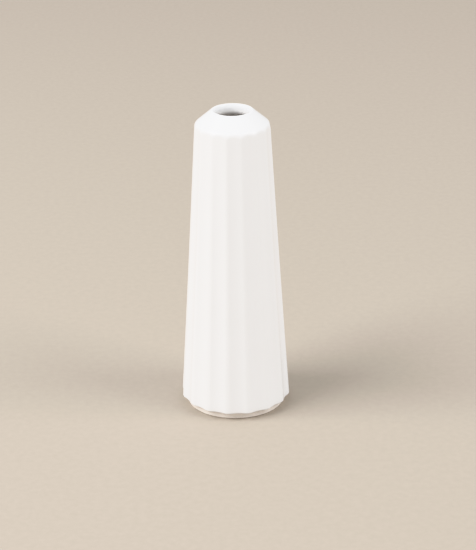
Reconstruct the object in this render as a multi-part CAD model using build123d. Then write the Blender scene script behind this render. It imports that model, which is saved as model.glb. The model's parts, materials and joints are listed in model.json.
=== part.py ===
from build123d import *
import os
from math import acos, asin, atan2, cos, degrees, hypot, pi, sin

# A tapered, fluted ceramic bud vase. It stands on Z = 0 and its axis is Z. All sizes are millimetres.

# Outside form, measured over the glaze
height = 200.0  # top of the lip
shoulder_drop = 9.5  # from the top of the lip down to the corner of the shoulder
edge_height = 4.7  # lower edge of the fluted wall
edge_radius = 35.8  # over the ridges, at the lower edge
neck_radius = 24.25  # over the ridges, at the corner of the shoulder
waist = 0.3  # halfway up, the ridges lie this far inside a straight line
shoulder_proud = 0.1  # the smooth shoulder stands out past the ridges by this much
shoulder_round = 6.0  # rounding between the wall and the cone of the shoulder

# Mouth, measured over the glaze
mouth_radius = 11.05  # at the narrowest part of the throat
lip_setback = 1.65  # from there out to the crest of the lip
lip_thickness = 2.5
throat_round = 4.5  # above and below its narrowest part the throat rounds out
throat_land = 1.0  # straight stretch between the two roundings

# Flutes
flute_count = 16
flute_hollow_low = 0.75  # middle of a flute, below a straight line between its ridges, at the lower edge
flute_hollow_high = 0.25  # the same, at the corner of the shoulder
ridge_round_low = 5.2  # rounding of the ridges at the lower edge
ridge_round_high = 3.2  # the same, at the corner of the shoulder
edge_bevel = 1.0  # bevel along the lower edge of the wall
span_count = 4  # stretches that the curve of the wall is drawn in, from the lower edge up

# Clay and glaze
glaze_thickness = 0.35
wall_thickness = 3.5  # clay behind the middle of a flute, at both ends of the wall
floor_thickness = 5.0
lap_depth = 5.2  # the shoulder drops this far into its seat in the wall
lap_share = 0.6  # how far across the joint the seat reaches, from the inside

# Foot
foot_setback = 4.4  # from the ridges in to the outside of the foot
foot_width = 5.0
foot_bevel = 0.6

overrun = 2.0  # cutting shapes reach this far past what they cut

# Worked out from the sizes above
shoulder_height = height - shoulder_drop
clay_bottom = edge_height + glaze_thickness
floor_top = clay_bottom + floor_thickness
foot_radius = edge_radius - foot_setback
lip_round = lip_thickness / 2
lip_centre = Vector(mouth_radius + lip_setback, height - lip_round)
lip_turn = asin((throat_round - lip_setback) / (throat_round - lip_round))
lip_end = 90 + degrees(lip_turn)  # the lip's round goes over into the throat at this angle
throat_upper = lip_centre + Vector(sin(lip_turn), -cos(lip_turn)) * (throat_round - lip_round)
throat_lower = throat_upper - Vector(0, throat_land)
glaze_join = (throat_upper.Y + throat_lower.Y) / 2  # outer and inner glaze meet halfway down the throat


def along_wall(low, high, z):
    """A size that goes evenly from the lower edge to the corner of the shoulder, at height z."""
    share = (z - edge_height) / (shoulder_height - edge_height)
    return low + (high - low) * share


def ridge_radius(z):
    share = along_wall(0, 1, z)
    return along_wall(edge_radius, neck_radius, z) - 4 * waist * share * (1 - share)


def ridge_round(z):
    return along_wall(ridge_round_low, ridge_round_high, z)


def valley_radius(z):
    """Middle of a flute: hollowed out from a straight line between the rounds of two ridges."""
    hub = ridge_radius(z) - ridge_round(z)
    straight = hub * cos(pi / flute_count) + ridge_round(z)
    return straight - along_wall(flute_hollow_low, flute_hollow_high, z)


def bore_radius(z):
    """Inside of the clay wall, without its liner."""
    return valley_radius(z) - glaze_thickness - wall_thickness


# Straight stretches of the profile: a line holds its outward normal and its distance from the origin


def line_through(lower, upper):
    run = upper - lower
    normal = Vector(run.Y, -run.X).normalized()
    return normal, normal.dot(lower)


def moved_in(line, distance):
    return line[0], line[1] - distance


def meeting_point(a, b):
    (n, p), (m, q) = a, b
    area = n.X * m.Y - n.Y * m.X
    return Vector((p * m.Y - q * n.Y) / area, (q * n.X - p * m.X) / area)


def level(z):
    return Vector(0, 1), z


def cone_outside():
    """The shoulder's cone: from the corner of the shoulder, touching the round of the lip."""
    corner = Vector(neck_radius + shoulder_proud, shoulder_height)
    reach = corner - lip_centre
    turn = atan2(reach.Y, reach.X) + acos(lip_round / hypot(reach.X, reach.Y))
    normal = Vector(cos(turn), sin(turn))
    return normal, normal.dot(corner)


side = line_through(
    Vector(edge_radius + shoulder_proud, edge_height),
    Vector(neck_radius + shoulder_proud, shoulder_height),
)
cone = cone_outside()
round_centre = meeting_point(moved_in(side, shoulder_round), moved_in(cone, shoulder_round))
side_angle = degrees(atan2(side[0].Y, side[0].X))
cone_angle = degrees(atan2(cone[0].Y, cone[0].X))

bore = line_through(
    Vector(bore_radius(edge_height), edge_height),
    Vector(bore_radius(shoulder_height), shoulder_height),
)
cone_inside = cone[0], cone[0].dot(throat_lower) - throat_round + glaze_thickness
bore_top = meeting_point(bore, cone_inside)

# The joint between shoulder and wall lies where the rounding runs out into the cone
joint_outside = round_centre + cone[0] * (shoulder_round - glaze_thickness)
joint_height = joint_outside.Y
lap_low = joint_height - lap_depth
lap_inside = meeting_point(level(lap_low), bore)
lap_radius = lap_inside.X + (joint_outside.X - lap_inside.X) * lap_share


def revolved(*pieces):
    """The solid that a closed profile sweeps about the axis. A piece is an edge, or points joined by lines."""
    edges = []
    for piece in pieces:
        edges += piece if isinstance(piece, list) else [piece]
    return revolve(Plane.XZ * make_face(Curve() + edges), Axis.Z)


def run(*points):
    """Straight edges from point to point."""
    return [Line(a, b) for a, b in zip(points, points[1:])]


def shoulder_arc(inset):
    return CenterArc(round_centre, shoulder_round - inset, side_angle, cone_angle - side_angle)


def lip_arc(inset):
    return CenterArc(lip_centre, lip_round - inset, cone_angle, lip_end - cone_angle)


def upper_throat_arc(inset):
    """From the lip in to the narrowest part of the throat."""
    return CenterArc(throat_upper, throat_round - inset, lip_end, 180 - lip_end)


def lower_throat_arc(inset):
    """From the narrowest part of the throat out to the inside of the cone."""
    return CenterArc(throat_lower, throat_round - inset, 180, cone_angle)


def fluted_section(z, inset, bevel):
    """Scalloped outline at height z: hollow arcs that run smoothly into rounded ridges, all drawn in by inset."""
    tip = ridge_radius(z) - bevel
    valley = valley_radius(z) - bevel
    crest_round = ridge_round(z)
    hub = tip - crest_round
    half = pi / flute_count
    spread = valley**2 + hub**2 - 2 * valley * hub * cos(half) - crest_round**2
    hollow_round = spread / (2 * (hub * cos(half) + crest_round - valley))
    ridge_centre = Vector(hub * cos(half), hub * sin(half))
    towards = (Vector(valley + hollow_round, 0) - ridge_centre).normalized()
    touch = ridge_centre + towards * (crest_round - inset)
    edges = []
    for flute in range(flute_count):
        turn = degrees(2 * half * flute)
        step = degrees(2 * half)
        start = Vector(touch.X, -touch.Y, z).rotate(Axis.Z, turn)
        middle = Vector(valley - inset, 0, z).rotate(Axis.Z, turn)
        end = Vector(touch.X, touch.Y, z).rotate(Axis.Z, turn)
        crest = Vector(tip - inset, 0, z).rotate(Axis.Z, turn + step / 2)
        following = Vector(touch.X, -touch.Y, z).rotate(Axis.Z, turn + step)
        edges += [ThreePointArc(start, middle, end), ThreePointArc(end, crest, following)]
    return make_face(Curve() + edges)


def fluted_bar(inset):
    """Solid bar with the flutes all round, bevelled along its lower edge."""
    low = edge_height + inset
    bevel_top = low + edge_bevel
    span = (height - bevel_top) / span_count
    sections = [fluted_section(low, inset, edge_bevel)]
    sections += [fluted_section(bevel_top + span * i, inset, 0) for i in range(span_count + 1)]
    return loft(sections, ruled=True)


def fluted_wall():
    low = level(clay_bottom - overrun)
    arc = shoulder_arc(glaze_thickness)
    outside_low = meeting_point(low, moved_in(side, glaze_thickness))
    inside_low = meeting_point(low, bore)
    tube = revolved(
        run(inside_low, outside_low, arc @ 0),
        arc,
        run(
            joint_outside,
            Vector(lap_radius, joint_height),
            Vector(lap_radius, lap_low),
            lap_inside,
            inside_low,
        ),
    )
    return fluted_bar(glaze_thickness) & tube


def shoulder():
    lip = lip_arc(glaze_thickness)
    upper = upper_throat_arc(glaze_thickness)
    lower = lower_throat_arc(glaze_thickness)
    return revolved(
        run(joint_outside, lip @ 0),
        lip,
        upper,
        run(upper @ 1, lower @ 0),
        lower,
        run(
            lower @ 1,
            bore_top,
            lap_inside,
            Vector(lap_radius, lap_low),
            Vector(lap_radius, joint_height),
            joint_outside,
        ),
    )


def floor_disc():
    under = meeting_point(level(clay_bottom), bore)
    top = meeting_point(level(floor_top), bore)
    return revolved(run(Vector(0, clay_bottom), under, top, Vector(0, floor_top), Vector(0, clay_bottom)))


def foot_ring():
    inner = foot_radius - foot_width
    return revolved(
        run(
            Vector(inner, clay_bottom),
            Vector(inner, foot_bevel),
            Vector(inner + foot_bevel, 0),
            Vector(foot_radius - foot_bevel, 0),
            Vector(foot_radius, foot_bevel),
            Vector(foot_radius, clay_bottom),
            Vector(inner, clay_bottom),
        )
    )


def outside_form(inset, throat_end):
    """The outside of the vase as a solid, drawn in by inset, with the mouth open down to throat_end."""
    low = level(edge_height - overrun)
    arc = shoulder_arc(inset)
    lip = lip_arc(inset)
    throat = upper_throat_arc(inset)
    side_low = meeting_point(low, moved_in(side, inset))
    form = revolved(
        run(Vector(0, low[1]), side_low, arc @ 0),
        arc,
        run(arc @ 1, lip @ 0),
        lip,
        throat,
        run(throat @ 1, Vector(mouth_radius + inset, throat_end), Vector(0, throat_end), Vector(0, low[1])),
    )
    return fluted_bar(inset) & form


def glaze_coat():
    """Outer skin of glaze, over the lip and into the throat, and in under the wall as far as the foot."""
    clay = outside_form(glaze_thickness, glaze_join)
    skin = outside_form(0, glaze_join - overrun) - clay
    return skin - Pos(0, 0, edge_height) * Cylinder(foot_radius, 2 * overrun)


def glaze_liner():
    """Inner skin of glaze, from the floor up into the throat."""
    floor_face = level(floor_top + glaze_thickness)
    wall_face = moved_in(bore, glaze_thickness)
    cone_face = moved_in(cone_inside, glaze_thickness)
    front = lower_throat_arc(0)
    back = lower_throat_arc(glaze_thickness)
    return revolved(
        run(Vector(0, floor_top), meeting_point(level(floor_top), bore), bore_top, back @ 1),
        back,
        run(back @ 0, Vector((back @ 0).X, glaze_join), Vector(mouth_radius, glaze_join), front @ 0),
        front,
        run(
            front @ 1,
            meeting_point(wall_face, cone_face),
            meeting_point(wall_face, floor_face),
            Vector(0, floor_face[1]),
            Vector(0, floor_top),
        ),
    )


os.makedirs("parts", exist_ok=True)
export_step(fluted_wall(), "parts/fluted_wall.step")
export_step(shoulder(), "parts/shoulder.step")
export_step(floor_disc(), "parts/floor_disc.step")
export_step(foot_ring(), "parts/foot_ring.step")
export_step(glaze_coat(), "parts/glaze_coat.step")
export_step(glaze_liner(), "parts/glaze_liner.step")
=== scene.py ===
import json
from math import acos, asin, atan2, cos, pi, radians, sin

import bpy
import numpy as np
from mathutils import Matrix, Vector


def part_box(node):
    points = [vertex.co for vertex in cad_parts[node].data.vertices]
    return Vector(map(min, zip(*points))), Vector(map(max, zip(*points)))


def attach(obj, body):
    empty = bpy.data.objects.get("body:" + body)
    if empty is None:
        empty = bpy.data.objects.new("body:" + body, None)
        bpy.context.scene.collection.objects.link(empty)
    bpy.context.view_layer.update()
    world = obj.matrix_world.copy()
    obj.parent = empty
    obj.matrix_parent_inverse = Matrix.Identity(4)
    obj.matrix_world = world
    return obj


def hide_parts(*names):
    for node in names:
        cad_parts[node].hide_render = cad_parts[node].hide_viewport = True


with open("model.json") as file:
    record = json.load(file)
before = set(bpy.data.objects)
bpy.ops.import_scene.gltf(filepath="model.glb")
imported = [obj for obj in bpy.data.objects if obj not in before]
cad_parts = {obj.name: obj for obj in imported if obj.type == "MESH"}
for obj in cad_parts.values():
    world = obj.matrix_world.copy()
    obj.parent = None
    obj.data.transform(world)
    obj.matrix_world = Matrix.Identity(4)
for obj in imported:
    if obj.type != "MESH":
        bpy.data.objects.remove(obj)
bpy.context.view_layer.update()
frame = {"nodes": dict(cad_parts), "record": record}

# A tapered, fluted ceramic bud vase with a satin white glaze. It stands on Z = 0 and its axis is Z.
# Everything is in metres, and MM turns millimetres into them.

MM = 0.001

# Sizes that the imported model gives
coat_low, coat_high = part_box("glaze_coat")
mouth = next(m for m in frame["record"]["mounts"] if m["name"] == "mouth")
HEIGHT = coat_high.z
EDGE_HEIGHT = coat_low.z
CLAY_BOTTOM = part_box("fluted_wall")[0].z
FLOOR_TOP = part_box("floor_disc")[1].z
FOOT_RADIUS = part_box("foot_ring")[1].x
MOUTH_RADIUS = mouth["dims"]["r_mm"] * MM
THROAT_LAND = mouth["dims"]["length_mm"] * MM  # straight stretch at the narrowest part of the throat
GLAZE = CLAY_BOTTOM - EDGE_HEIGHT

# Outside form, measured over the glaze
SHOULDER_DROP = 9.5 * MM  # from the top of the lip down to the corner of the shoulder
SHOULDER_HEIGHT = HEIGHT - SHOULDER_DROP
EDGE_RADIUS = 35.8 * MM  # over the ridges, at the lower edge
NECK_RADIUS = 24.25 * MM  # over the ridges, at the corner of the shoulder
WAIST = 0.3 * MM  # halfway up, the ridges lie this far inside a straight line
SHOULDER_PROUD = 0.1 * MM  # the smooth shoulder stands out past the ridges by this much
SHOULDER_ROUND = 6.0 * MM
LIP_ROUND = 1.25 * MM
LIP_SETBACK = 1.65 * MM  # from the narrowest part of the throat out to the crest of the lip
THROAT_ROUND = 4.5 * MM
EDGE_ROUND = 1.3 * MM
WALL = 3.5 * MM  # clay behind the middle of a flute

# Flutes
FLUTES = 16
HOLLOW_LOW = 0.75 * MM  # middle of a flute, below a straight line between its ridges, at the lower edge
HOLLOW_HIGH = 0.25 * MM  # the same, at the corner of the shoulder
RIDGE_ROUND_LOW = 5.2 * MM
RIDGE_ROUND_HIGH = 3.2 * MM
ARCH_SOFTNESS = 0.8 * MM  # how gently the flutes run out into the shoulder
ARCH_REACH = 3.5 * MM  # the arches begin this far below the corner of the shoulder

# Foot and inside
FOOT_WIDTH = 5.0 * MM
FOOT_ROUND = 0.7 * MM
LINER_POOL = 4.0 * MM  # round of the glaze that gathers in the corner of the floor
LINER_HOLE = 0.05 * MM  # the rings of the floor's glaze close up to this far from the axis

# Hand of the maker: small departures from the perfect form, all of them inwards
HOLLOW_SPREAD_SHARE = 0.05
OUT_OF_ROUND = 0.08 * MM
GLAZE_LINE = 0.6 * MM  # the glaze under the wall stops this far outside the foot
GLAZE_LINE_WAVE = 0.2 * MM
FOOT_WAVE = 0.05 * MM
TURNING_LINE = 0.14 * MM  # height of one radian of the waves that a turning tool leaves
SPONGE_LINE = 0.5 * MM  # the same, of the waves that a sponge leaves

# Points of the meshes: columns round the axis and rows along the profile
RIDGE_ANGLE = radians(3.5)  # the columns are closer together up to this angle from a ridge
HOLLOW_COLUMNS = 15
RIDGE_COLUMNS = 11
LINER_COLUMNS = 192
FOOT_COLUMNS = 256
UNDERSIDE_ROWS = 4
EDGE_ROWS = 12
CONE_ROWS = 9
LIP_ROWS = 20
THROAT_ROWS = 12
LINER_FLOOR_ROWS = 12
LINER_POOL_ROWS = 9
LINER_WALL_ROWS = 40
LINER_CONE_ROWS = 8
LINER_THROAT_ROWS = 14
FOOT_OUTSIDE_ROWS = 14
FOOT_ROUND_ROWS = 7
FOOT_FLAT_ROWS = 6
CREASE_ANGLE = radians(50)

# Colours: the darkest and the lightest patches of each surface
GLAZE_COLOURS = (0.84, 0.842, 0.852), (0.86, 0.863, 0.875)
# Deep inside, the white liner glaze is painted warmer than in the throat: a painted warm tint for the shade
# down in the mouth
SHADE_TINT_LINER_COLOURS = (0.91, 0.855, 0.80), (0.94, 0.89, 0.84)
THROAT_COLOURS = (0.87, 0.868, 0.87), (0.89, 0.888, 0.89)
FOOT_COLOURS = (0.86, 0.79, 0.73), (0.93, 0.87, 0.81)
BODY_COLOURS = (0.60, 0.54, 0.48), (0.66, 0.60, 0.54)
FLOOR_COLOURS = (0.385, 0.338, 0.286), (0.41, 0.36, 0.305)
WHITE = (1.0, 1.0, 1.0)
SHADE_TINT_TOP = 186 * MM  # the painted warm tint of shade in the liner begins to fade into the white of the throat here

# Camera of the photograph
PICTURE_HEIGHT = 550
FOCAL_PIXELS = 1923.2
SENSOR_WIDTH = 36.0
CAMERA_PLACE = Vector((2.36, -1142.86, 576.06)) * MM
CAMERA_PITCH = radians(23.127)
CAMERA_ROLL = radians(-0.723)
CAMERA_TURN = radians(-2.28)

FLOOR_HALF = 8.0  # half the side of the floor that the vase stands on


# Profile: the straight and round stretches that the outside is made of, as (radius, height)


def along_wall(low, high, z):
    """A size that goes evenly from the lower edge to the corner of the shoulder, at height z."""
    return low + (high - low) * (z - EDGE_HEIGHT) / (SHOULDER_HEIGHT - EDGE_HEIGHT)


def ridge_radius(z):
    """Over the ridges: the wall is slightly hollow between its lower edge and the shoulder."""
    share = along_wall(0, 1, z)
    return along_wall(EDGE_RADIUS, NECK_RADIUS, z) - 4 * WAIST * share * (1 - share)


def ridge_round(z):
    return along_wall(RIDGE_ROUND_LOW, RIDGE_ROUND_HIGH, z)


def flat_radius(z):
    """Distance from the axis of a straight line between two ridges. The flutes are hollowed out from it."""
    return (ridge_radius(z) - ridge_round(z)) * cos(pi / FLUTES) + ridge_round(z)


def bore_radius(z):
    """Inside of the clay wall, without its liner."""
    return flat_radius(z) - along_wall(HOLLOW_LOW, HOLLOW_HIGH, z) - GLAZE - WALL


def inwards(normal, point, distance):
    """The line through a point, square to its normal, moved in by a distance."""
    return normal, normal.dot(point) - distance


def meeting_point(a, b):
    (n, p), (m, q) = a, b
    area = n.x * m.y - n.y * m.x
    return Vector(((p * m.y - q * n.y) / area, (q * n.x - p * m.x) / area))


def arc(centre, radius, start, end, count):
    """Points of an arc in the profile, from angle start to angle end."""
    return [
        centre + radius * Vector((cos(a), sin(a)))
        for a in np.linspace(start, end, count)
    ]


def straight(a, b, count):
    """Points between a and b, without the two ends."""
    return [a.lerp(b, (i + 1) / (count + 1)) for i in range(count)]


corner = Vector((NECK_RADIUS + SHOULDER_PROUD, SHOULDER_HEIGHT))
lip_centre = Vector((MOUTH_RADIUS + LIP_SETBACK, HEIGHT - LIP_ROUND))
lip_turn = asin((THROAT_ROUND - LIP_SETBACK) / (THROAT_ROUND - LIP_ROUND))
throat_upper = lip_centre + (THROAT_ROUND - LIP_ROUND) * Vector((sin(lip_turn), -cos(lip_turn)))
throat_lower = throat_upper - Vector((0, THROAT_LAND))
glaze_join = (throat_upper.y + throat_lower.y) / 2  # outer and inner glaze meet halfway down the throat
side_angle = atan2(EDGE_RADIUS - NECK_RADIUS, SHOULDER_HEIGHT - EDGE_HEIGHT)
reach = corner - lip_centre
cone_angle = atan2(reach.y, reach.x) + acos(LIP_ROUND / reach.length)
side_normal = Vector((cos(side_angle), sin(side_angle)))
cone_normal = Vector((cos(cone_angle), sin(cone_angle)))
round_centre = meeting_point(
    inwards(side_normal, corner, SHOULDER_ROUND),
    inwards(cone_normal, corner, SHOULDER_ROUND),
)


# Fluted surface


def hollow_depth(z, angle):
    """Depth of the hollows, which differs a little from one flute to the next and along each one."""
    flute = np.floor(angle / (2 * pi / FLUTES) + 0.5) % FLUTES
    uneven = np.sin(2.4 * flute) + 0.5 * np.sin(5.0 * along_wall(0, 1, z) + 1.7 * flute)
    return along_wall(HOLLOW_LOW, HOLLOW_HIGH, z) * (1 - HOLLOW_SPREAD_SHARE * uneven)


def fluted_radius(z, angle, inset):
    """Distance from the axis of hollow arcs that run smoothly into rounded ridges, all drawn in by inset."""
    half = pi / FLUTES
    off_middle = np.abs((angle + half) % (2 * half) - half)
    off_ridge = half - off_middle
    ridge = ridge_round(z)
    hub = ridge_radius(z) - ridge
    deep = hollow_depth(z, angle)
    valley = flat_radius(z) - deep
    spread = valley**2 + hub**2 - 2 * valley * hub * cos(half) - ridge**2
    hollow = spread / (2 * deep)
    centre = valley + hollow
    run = centre - hub * cos(half)
    rise = -hub * sin(half)
    step = (ridge - inset) / np.hypot(run, rise)
    touch = np.arctan2(hub * sin(half) + rise * step, hub * cos(half) + run * step)
    hollow_left = (hollow + inset) ** 2 - (centre * np.sin(off_middle)) ** 2
    in_hollow = centre * np.cos(off_middle) - np.sqrt(hollow_left)
    ridge_left = (ridge - inset) ** 2 - (hub * np.sin(off_ridge)) ** 2
    on_ridge = hub * np.cos(off_ridge) + np.sqrt(np.maximum(ridge_left, 0))
    return np.where(off_middle < touch, in_hollow, on_ridge)


def shoulder_radius(z, inset):
    """Distance from the axis of the smooth form that the flutes run out into, up to the start of the cone."""
    foot_of_side = corner - inset * side_normal
    on_side = foot_of_side.x + (foot_of_side.y - z) * sin(side_angle) / cos(side_angle)
    radius = SHOULDER_ROUND - inset
    above = np.maximum(z - round_centre.y, 0)
    on_round = round_centre.x + np.sqrt(np.maximum(radius**2 - above**2, 0))
    return np.where(z < round_centre.y + radius * sin(side_angle), on_side, on_round)


def soft_minimum(a, b, softness):
    share = np.clip(0.5 + 0.5 * (b - a) / softness, 0, 1)
    return b + (a - b) * share - softness * share * (1 - share)


def wall_radius(z, angle, inset):
    return soft_minimum(fluted_radius(z, angle, inset), shoulder_radius(z, inset), ARCH_SOFTNESS)


def out_of_round(angle):
    """How far a cast form slips out of round: never more than OUT_OF_ROUND, and only inwards."""
    return OUT_OF_ROUND * (0.5 + 0.3 * np.sin(2 * angle + 0.6) + 0.2 * np.sin(3 * angle + 2.0))


def flute_columns():
    """Angles round the axis, a little closer together on the ridges than in the hollows."""
    half = pi / FLUTES
    in_hollow = np.linspace(RIDGE_ANGLE - half, half - RIDGE_ANGLE, HOLLOW_COLUMNS)
    on_ridge = np.linspace(half - RIDGE_ANGLE, half + RIDGE_ANGLE, RIDGE_COLUMNS)[1:-1]
    one = np.concatenate([in_hollow, on_ridge])
    return np.concatenate([one + 2 * half * flute for flute in range(FLUTES)])


# Meshes


def mesh_piece(name, rows, node, material):
    """A closed skin: each row is a ring of points round the axis, and the last row is joined to the first."""
    points = np.stack(rows)
    count, columns = points.shape[:2]
    here = np.arange(count * columns).reshape(count, columns)
    above = np.roll(here, -1, axis=0)
    quads = np.stack([here, np.roll(here, -1, axis=1), np.roll(above, -1, axis=1), above], axis=-1)
    mesh = bpy.data.meshes.new(name)
    mesh.from_pydata(points.reshape(-1, 3).tolist(), [], quads.reshape(-1, 4).tolist())
    mesh.update()
    mesh.shade_smooth()
    mesh.set_sharp_from_angle(angle=CREASE_ANGLE)
    mesh.materials.append(material)
    piece = bpy.data.objects.new(name, mesh)
    bpy.context.scene.collection.objects.link(piece)
    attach(piece, "root")
    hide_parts(node)


def ring(radius, z, angle):
    radius = np.broadcast_to(radius, angle.shape)
    height = np.broadcast_to(z, angle.shape)
    return np.stack([radius * np.cos(angle), radius * np.sin(angle), height], axis=-1)


def outside_rows(inset, angle, wall_rows, arch_rows):
    """Rings over the outside: from the foot, round the lower edge, up the wall and into the mouth."""
    low = EDGE_HEIGHT + inset
    edge = EDGE_ROUND - inset / 2
    line = FOOT_RADIUS + GLAZE_LINE + GLAZE_LINE_WAVE * np.sin(5 * angle) * np.sin(2 * angle + 1)
    slip = out_of_round(angle)
    rows = []
    rim = wall_radius(low + edge, angle, inset) - slip
    for share in np.linspace(0, 1, UNDERSIDE_ROWS, endpoint=False):
        rows.append(ring(line + (rim - edge - line) * share, low, angle))
    for a in np.linspace(-pi / 2, 0, EDGE_ROWS):
        rows.append(ring(rim - edge + edge * cos(a), low + edge + edge * sin(a), angle))
    arch_low = SHOULDER_HEIGHT - ARCH_REACH
    arch_high = round_centre.y + (SHOULDER_ROUND - inset) * sin(cone_angle)
    heights = np.linspace(low + edge, arch_low, wall_rows)[1:].tolist()
    heights += np.linspace(arch_low, arch_high, arch_rows)[1:].tolist()
    for z in heights:
        rows.append(ring(wall_radius(z, angle, inset) - slip, z, angle))
    lip = arc(lip_centre, LIP_ROUND - inset, cone_angle, pi / 2 + lip_turn, LIP_ROWS)
    throat = arc(throat_upper, THROAT_ROUND - inset, pi / 2 + lip_turn, pi, THROAT_ROWS)
    cone_low = round_centre + (SHOULDER_ROUND - inset) * cone_normal
    throat_end = Vector((MOUTH_RADIUS + inset, glaze_join))
    profile = straight(cone_low, lip[0], CONE_ROWS) + lip + throat[1:] + [throat_end]
    fade = np.linspace(1, 0, len(profile))
    for point, share in zip(profile, fade):
        rows.append(ring(point.x - slip * share, point.y, angle))
    return rows


def glaze_coat(material):
    """Outer skin of glaze. Its inner side, on the clay, is out of sight and has fewer rows."""
    angle = flute_columns()
    outer = outside_rows(0.0, angle, wall_rows=56, arch_rows=56)
    inner = outside_rows(GLAZE, angle, wall_rows=12, arch_rows=16)
    mesh_piece("outer_glaze", outer + inner[::-1], "glaze_coat", material)


def liner_profile(inset, pool):
    """Inside of the vase, this far in from the clay: from near the axis over the floor up to the throat."""
    floor_face = FLOOR_TOP + inset
    low = Vector((bore_radius(EDGE_HEIGHT), EDGE_HEIGHT))
    high = Vector((bore_radius(SHOULDER_HEIGHT), SHOULDER_HEIGHT))
    slope = (high - low).normalized()
    wall_face = inwards(Vector((slope.y, -slope.x)), low, inset)
    cone_face = inwards(cone_normal, throat_lower, THROAT_ROUND - GLAZE + inset)
    low_corner = meeting_point(wall_face, (Vector((0, 1)), floor_face))
    high_corner = meeting_point(wall_face, cone_face)
    throat = arc(throat_lower, THROAT_ROUND - GLAZE + inset, pi + cone_angle, pi, LINER_THROAT_ROWS)
    centre = Vector((LINER_HOLE, floor_face))
    top = Vector((throat[-1].x, glaze_join))
    points = [centre] + straight(centre, low_corner, LINER_FLOOR_ROWS)
    if pool:
        points = [p for p in points if p.x < low_corner.x - pool]
        for a in np.linspace(-pi / 2, 0, LINER_POOL_ROWS):
            bend = pool * (1 + sin(a))
            across = low_corner.x - pool + pool * cos(a) - bend * sin(side_angle)
            points.append(Vector((across, floor_face + bend)))
    else:
        points.append(low_corner)
    points += straight(points[-1], high_corner, LINER_WALL_ROWS) + [high_corner]
    points += straight(high_corner, throat[0], LINER_CONE_ROWS) + throat + [top]
    return points


def glaze_liner(material):
    """Inner skin of glaze. It follows the clay on one side and gathers in a pool on the other."""
    angle = np.linspace(0, 2 * pi, LINER_COLUMNS, endpoint=False)
    profile = liner_profile(0.0, 0.0) + liner_profile(GLAZE, LINER_POOL)[::-1]
    rows = [ring(point.x, point.y, angle) for point in profile]
    mesh_piece("inner_glaze", rows, "glaze_liner", material)


def foot_ring(material):
    """Bare clay ring with softened edges and the faint lines that a turning tool and a sponge leave."""
    angle = np.linspace(0, 2 * pi, FOOT_COLUMNS, endpoint=False)
    inner = FOOT_RADIUS - FOOT_WIDTH
    out_low = Vector((FOOT_RADIUS - FOOT_ROUND, FOOT_ROUND))
    in_low = Vector((inner + FOOT_ROUND, FOOT_ROUND))
    in_high = Vector((inner, CLAY_BOTTOM))
    profile = [Vector((FOOT_RADIUS, CLAY_BOTTOM))]
    profile += straight(profile[0], Vector((FOOT_RADIUS, FOOT_ROUND)), FOOT_OUTSIDE_ROWS)
    profile += arc(out_low, FOOT_ROUND, 0, -pi / 2, FOOT_ROUND_ROWS)
    profile += straight(profile[-1], Vector((in_low.x, 0)), FOOT_FLAT_ROWS)
    profile += arc(in_low, FOOT_ROUND, -pi / 2, -pi, FOOT_ROUND_ROWS)
    profile += straight(profile[-1], in_high, FOOT_FLAT_ROWS) + [in_high]
    rows = []
    for point in profile:
        line = 0.5 + 0.3 * sin(point.y / TURNING_LINE) + 0.2 * np.sin(7 * angle + point.y / SPONGE_LINE)
        outside = point.x > FOOT_RADIUS - FOOT_ROUND and 0 < point.y < CLAY_BOTTOM
        rows.append(ring(point.x - (FOOT_WAVE * line if outside else 0), point.y, angle))
    mesh_piece("bare_foot", rows, "foot_ring", material)


# Materials


def new_material(name):
    material = bpy.data.materials.new(name)
    material.use_nodes = True
    tree = material.node_tree
    return material, tree, tree.nodes["Principled BSDF"]


def add(tree, kind, **values):
    """A node with some of its sockets set by name; an underscore in a name stands for a space."""
    node = tree.nodes.new(kind)
    for name, value in values.items():
        node.inputs[name.replace("_", " ")].default_value = value
    return node


def object_noise(tree, scale, detail, roughness):
    place = tree.nodes.new("ShaderNodeTexCoord")
    noise = add(tree, "ShaderNodeTexNoise", Scale=scale, Detail=detail, Roughness=roughness)
    tree.links.new(place.outputs["Object"], noise.inputs["Vector"])
    return noise.outputs["Fac"]


def ramp(tree, factor, dark, light, start=0.3, end=0.7):
    """Dark where the factor is below start, light where it is above end, and even in between."""
    node = tree.nodes.new("ShaderNodeValToRGB")
    first, last = node.color_ramp.elements
    first.position = start
    first.color = (*dark, 1)
    last.position = end
    last.color = (*light, 1)
    tree.links.new(factor, node.inputs["Fac"])
    return node.outputs["Color"]


def grey(value):
    return (value, value, value)


def height_share(tree, low, high):
    """0 up to the height low, 1 from the height high, and even in between."""
    place = tree.nodes.new("ShaderNodeTexCoord")
    split = tree.nodes.new("ShaderNodeSeparateXYZ")
    tree.links.new(place.outputs["Object"], split.inputs["Vector"])
    share = add(tree, "ShaderNodeMapRange", From_Min=low, From_Max=high)
    tree.links.new(split.outputs["Z"], share.inputs["Value"])
    return share.outputs["Result"]


def mixed(tree, factor, first, second):
    """One colour where the factor is 0, going over to another where it is 1."""
    node = tree.nodes.new("ShaderNodeMixRGB")
    tree.links.new(factor, node.inputs["Fac"])
    tree.links.new(first, node.inputs["Color1"])
    tree.links.new(second, node.inputs["Color2"])
    return node.outputs["Color"]


def bump(tree, shader, height, distance, strength):
    node = add(tree, "ShaderNodeBump", Distance=distance, Strength=strength)
    tree.links.new(height, node.inputs["Height"])
    tree.links.new(node.outputs["Normal"], shader.inputs["Normal"])


def satin_glaze():
    """White glaze with faint clouds, patches that are a little duller, and a soft unevenness."""
    material, tree, shader = new_material("satin_white_glaze")
    cloud = object_noise(tree, scale=38.0, detail=3.0, roughness=0.5)
    patch = object_noise(tree, scale=90.0, detail=4.0, roughness=0.6)
    uneven = object_noise(tree, scale=420.0, detail=2.0, roughness=0.5)
    tree.links.new(ramp(tree, cloud, *GLAZE_COLOURS), shader.inputs["Base Color"])
    tree.links.new(ramp(tree, patch, grey(0.19), grey(0.25)), shader.inputs["Roughness"])
    bump(tree, shader, uneven, distance=0.012 * MM, strength=0.5)
    return material


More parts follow.
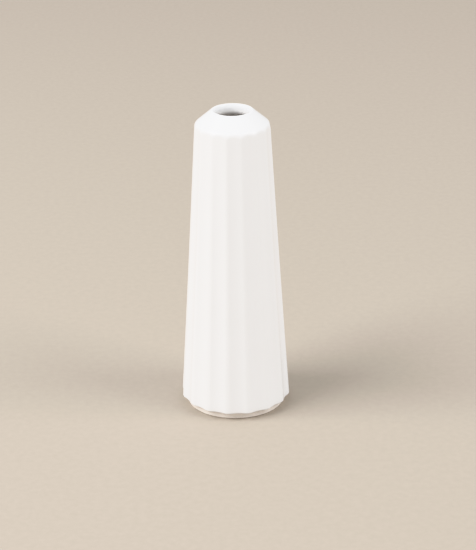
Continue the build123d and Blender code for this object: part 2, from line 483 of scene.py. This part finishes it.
def liner_glaze():
    """Clear white glaze inside, as white as the outside in the throat. Deep down it is painted warmer: a
    painted warm tint for the shade inside the mouth.
    """
    material, tree, shader = new_material("glossy_liner_glaze")
    cloud = object_noise(tree, scale=60.0, detail=3.0, roughness=0.5)
    uneven = object_noise(tree, scale=400.0, detail=2.0, roughness=0.5)
    # Painted shade tint: the warm colour deep inside stands in for the warm cast of the shade in the mouth
    deep = ramp(tree, cloud, *SHADE_TINT_LINER_COLOURS)
    throat = ramp(tree, cloud, *THROAT_COLOURS)
    colour = mixed(tree, height_share(tree, SHADE_TINT_TOP, glaze_join), deep, throat)
    tree.links.new(colour, shader.inputs["Base Color"])
    tree.links.new(ramp(tree, cloud, grey(0.14), grey(0.2)), shader.inputs["Roughness"])
    bump(tree, shader, uneven, distance=0.03 * MM, strength=0.5)
    return material


def bare_clay(name, dark, light):
    """Dull fired clay with a fine grain."""
    material, tree, shader = new_material(name)
    grain = object_noise(tree, scale=1400.0, detail=4.0, roughness=0.7)
    tree.links.new(ramp(tree, grain, dark, light, start=0.35, end=0.65), shader.inputs["Base Color"])
    tree.links.new(ramp(tree, grain, grey(0.78), grey(0.92)), shader.inputs["Roughness"])
    bump(tree, shader, grain, distance=0.06 * MM, strength=0.7)
    return material


def floor_paper():
    material, tree, shader = new_material("pale_floor")
    fibre = object_noise(tree, scale=220.0, detail=6.0, roughness=0.65)
    tree.links.new(ramp(tree, fibre, *FLOOR_COLOURS), shader.inputs["Base Color"])
    shader.inputs["Roughness"].default_value = 0.85
    return material


# Stage, light and camera


def floor(material):
    mesh = bpy.data.meshes.new("floor")
    signs = ((-1, -1), (1, -1), (1, 1), (-1, 1))
    corners = [(x * FLOOR_HALF, y * FLOOR_HALF, 0) for x, y in signs]
    mesh.from_pydata(corners, [], [(0, 1, 2, 3)])
    mesh.materials.append(material)
    piece = bpy.data.objects.new("floor", mesh)
    bpy.context.scene.collection.objects.link(piece)


def softbox(name, azimuth, elevation, distance, size, power):
    """A square area light that looks at the middle of the vase."""
    light = bpy.data.lights.new(name, "AREA")
    light.shape = "SQUARE"
    light.size = size
    light.energy = power
    light.color = WHITE
    lamp = bpy.data.objects.new(name, light)
    target = Vector((0, 0, HEIGHT / 2))
    towards = Vector((cos(azimuth) * cos(elevation), sin(azimuth) * cos(elevation), sin(elevation)))
    lamp.location = target + distance * towards
    lamp.rotation_euler = towards.to_track_quat("Z", "Y").to_euler()
    bpy.context.scene.collection.objects.link(lamp)


def surroundings(strength):
    world = bpy.data.worlds.new("soft_surroundings")
    world.use_nodes = True
    sky = world.node_tree.nodes["Background"]
    sky.inputs["Color"].default_value = (*WHITE, 1)
    sky.inputs["Strength"].default_value = strength
    bpy.context.scene.world = world


def camera():
    data = bpy.data.cameras.new("camera")
    data.sensor_width = SENSOR_WIDTH
    data.lens = FOCAL_PIXELS * SENSOR_WIDTH / PICTURE_HEIGHT
    eye = bpy.data.objects.new("camera", data)
    turn = Matrix.Rotation(CAMERA_TURN, 4, "Z")
    tilt = Matrix.Rotation(pi / 2 - CAMERA_PITCH, 4, "X")
    roll = Matrix.Rotation(CAMERA_ROLL, 4, "Z")
    eye.matrix_world = turn @ Matrix.Translation(CAMERA_PLACE) @ tilt @ roll
    bpy.context.scene.collection.objects.link(eye)
    bpy.context.scene.camera = eye


# The vase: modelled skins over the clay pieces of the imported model

glaze_coat(satin_glaze())
glaze_liner(liner_glaze())
foot_ring(bare_clay("bare_foot_clay", *FOOT_COLOURS))
body_clay = bare_clay("body_clay", *BODY_COLOURS)
for node in ("fluted_wall", "shoulder", "floor_disc"):
    frame["nodes"][node].data.materials.clear()
    frame["nodes"][node].data.materials.append(body_clay)

floor(floor_paper())
softbox("key_light", azimuth=radians(198), elevation=radians(43), distance=3.2, size=2.2, power=128.0)
softbox("fill_light", azimuth=radians(340), elevation=radians(40), distance=3.2, size=1.75, power=59.0)
surroundings(strength=0.70)
bpy.context.scene.view_settings.view_transform = "Khronos PBR Neutral"
camera()
